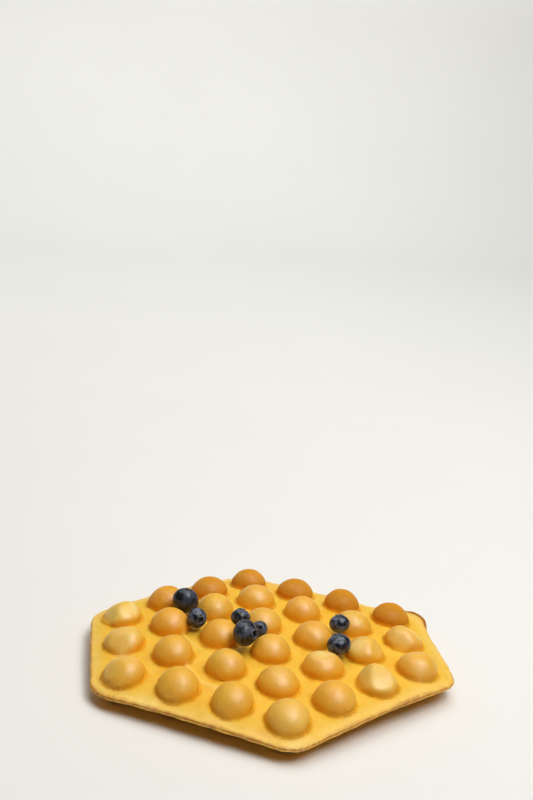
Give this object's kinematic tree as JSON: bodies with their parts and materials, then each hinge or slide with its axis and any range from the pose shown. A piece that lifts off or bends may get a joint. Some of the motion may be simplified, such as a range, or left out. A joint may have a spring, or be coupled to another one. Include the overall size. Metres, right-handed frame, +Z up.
{
  "type": "bubble waffle",
  "caption": "Hexagonal bubble waffle lying flat: round hollow-looking bubbles on both faces of a thin sheet with a beaded rim, with loose berries resting on top.",
  "frame": {"origin": "middle of the waffle's footprint, on the surface it lies on", "axes": "+Z up out of the waffle's shown face, +X across the seven columns of bubbles, +Y along the columns"},
  "size_m": [0.22, 0.2086, 0.0388],
  "materials": {
    "waffle": "baked egg batter, satin and slightly oily",
    "berry": "dark blue skin with a pale waxy bloom"
  },
  "bodies": {
    "root": {"waffle": "waffle", "blueberry_1": "berry", "blueberry_2": "berry", "blueberry_3": "berry", "blueberry_4": "berry", "blueberry_5": "berry", "blueberry_6": "berry", "blueberry_7": "berry"}
  },
  "joints": []
}
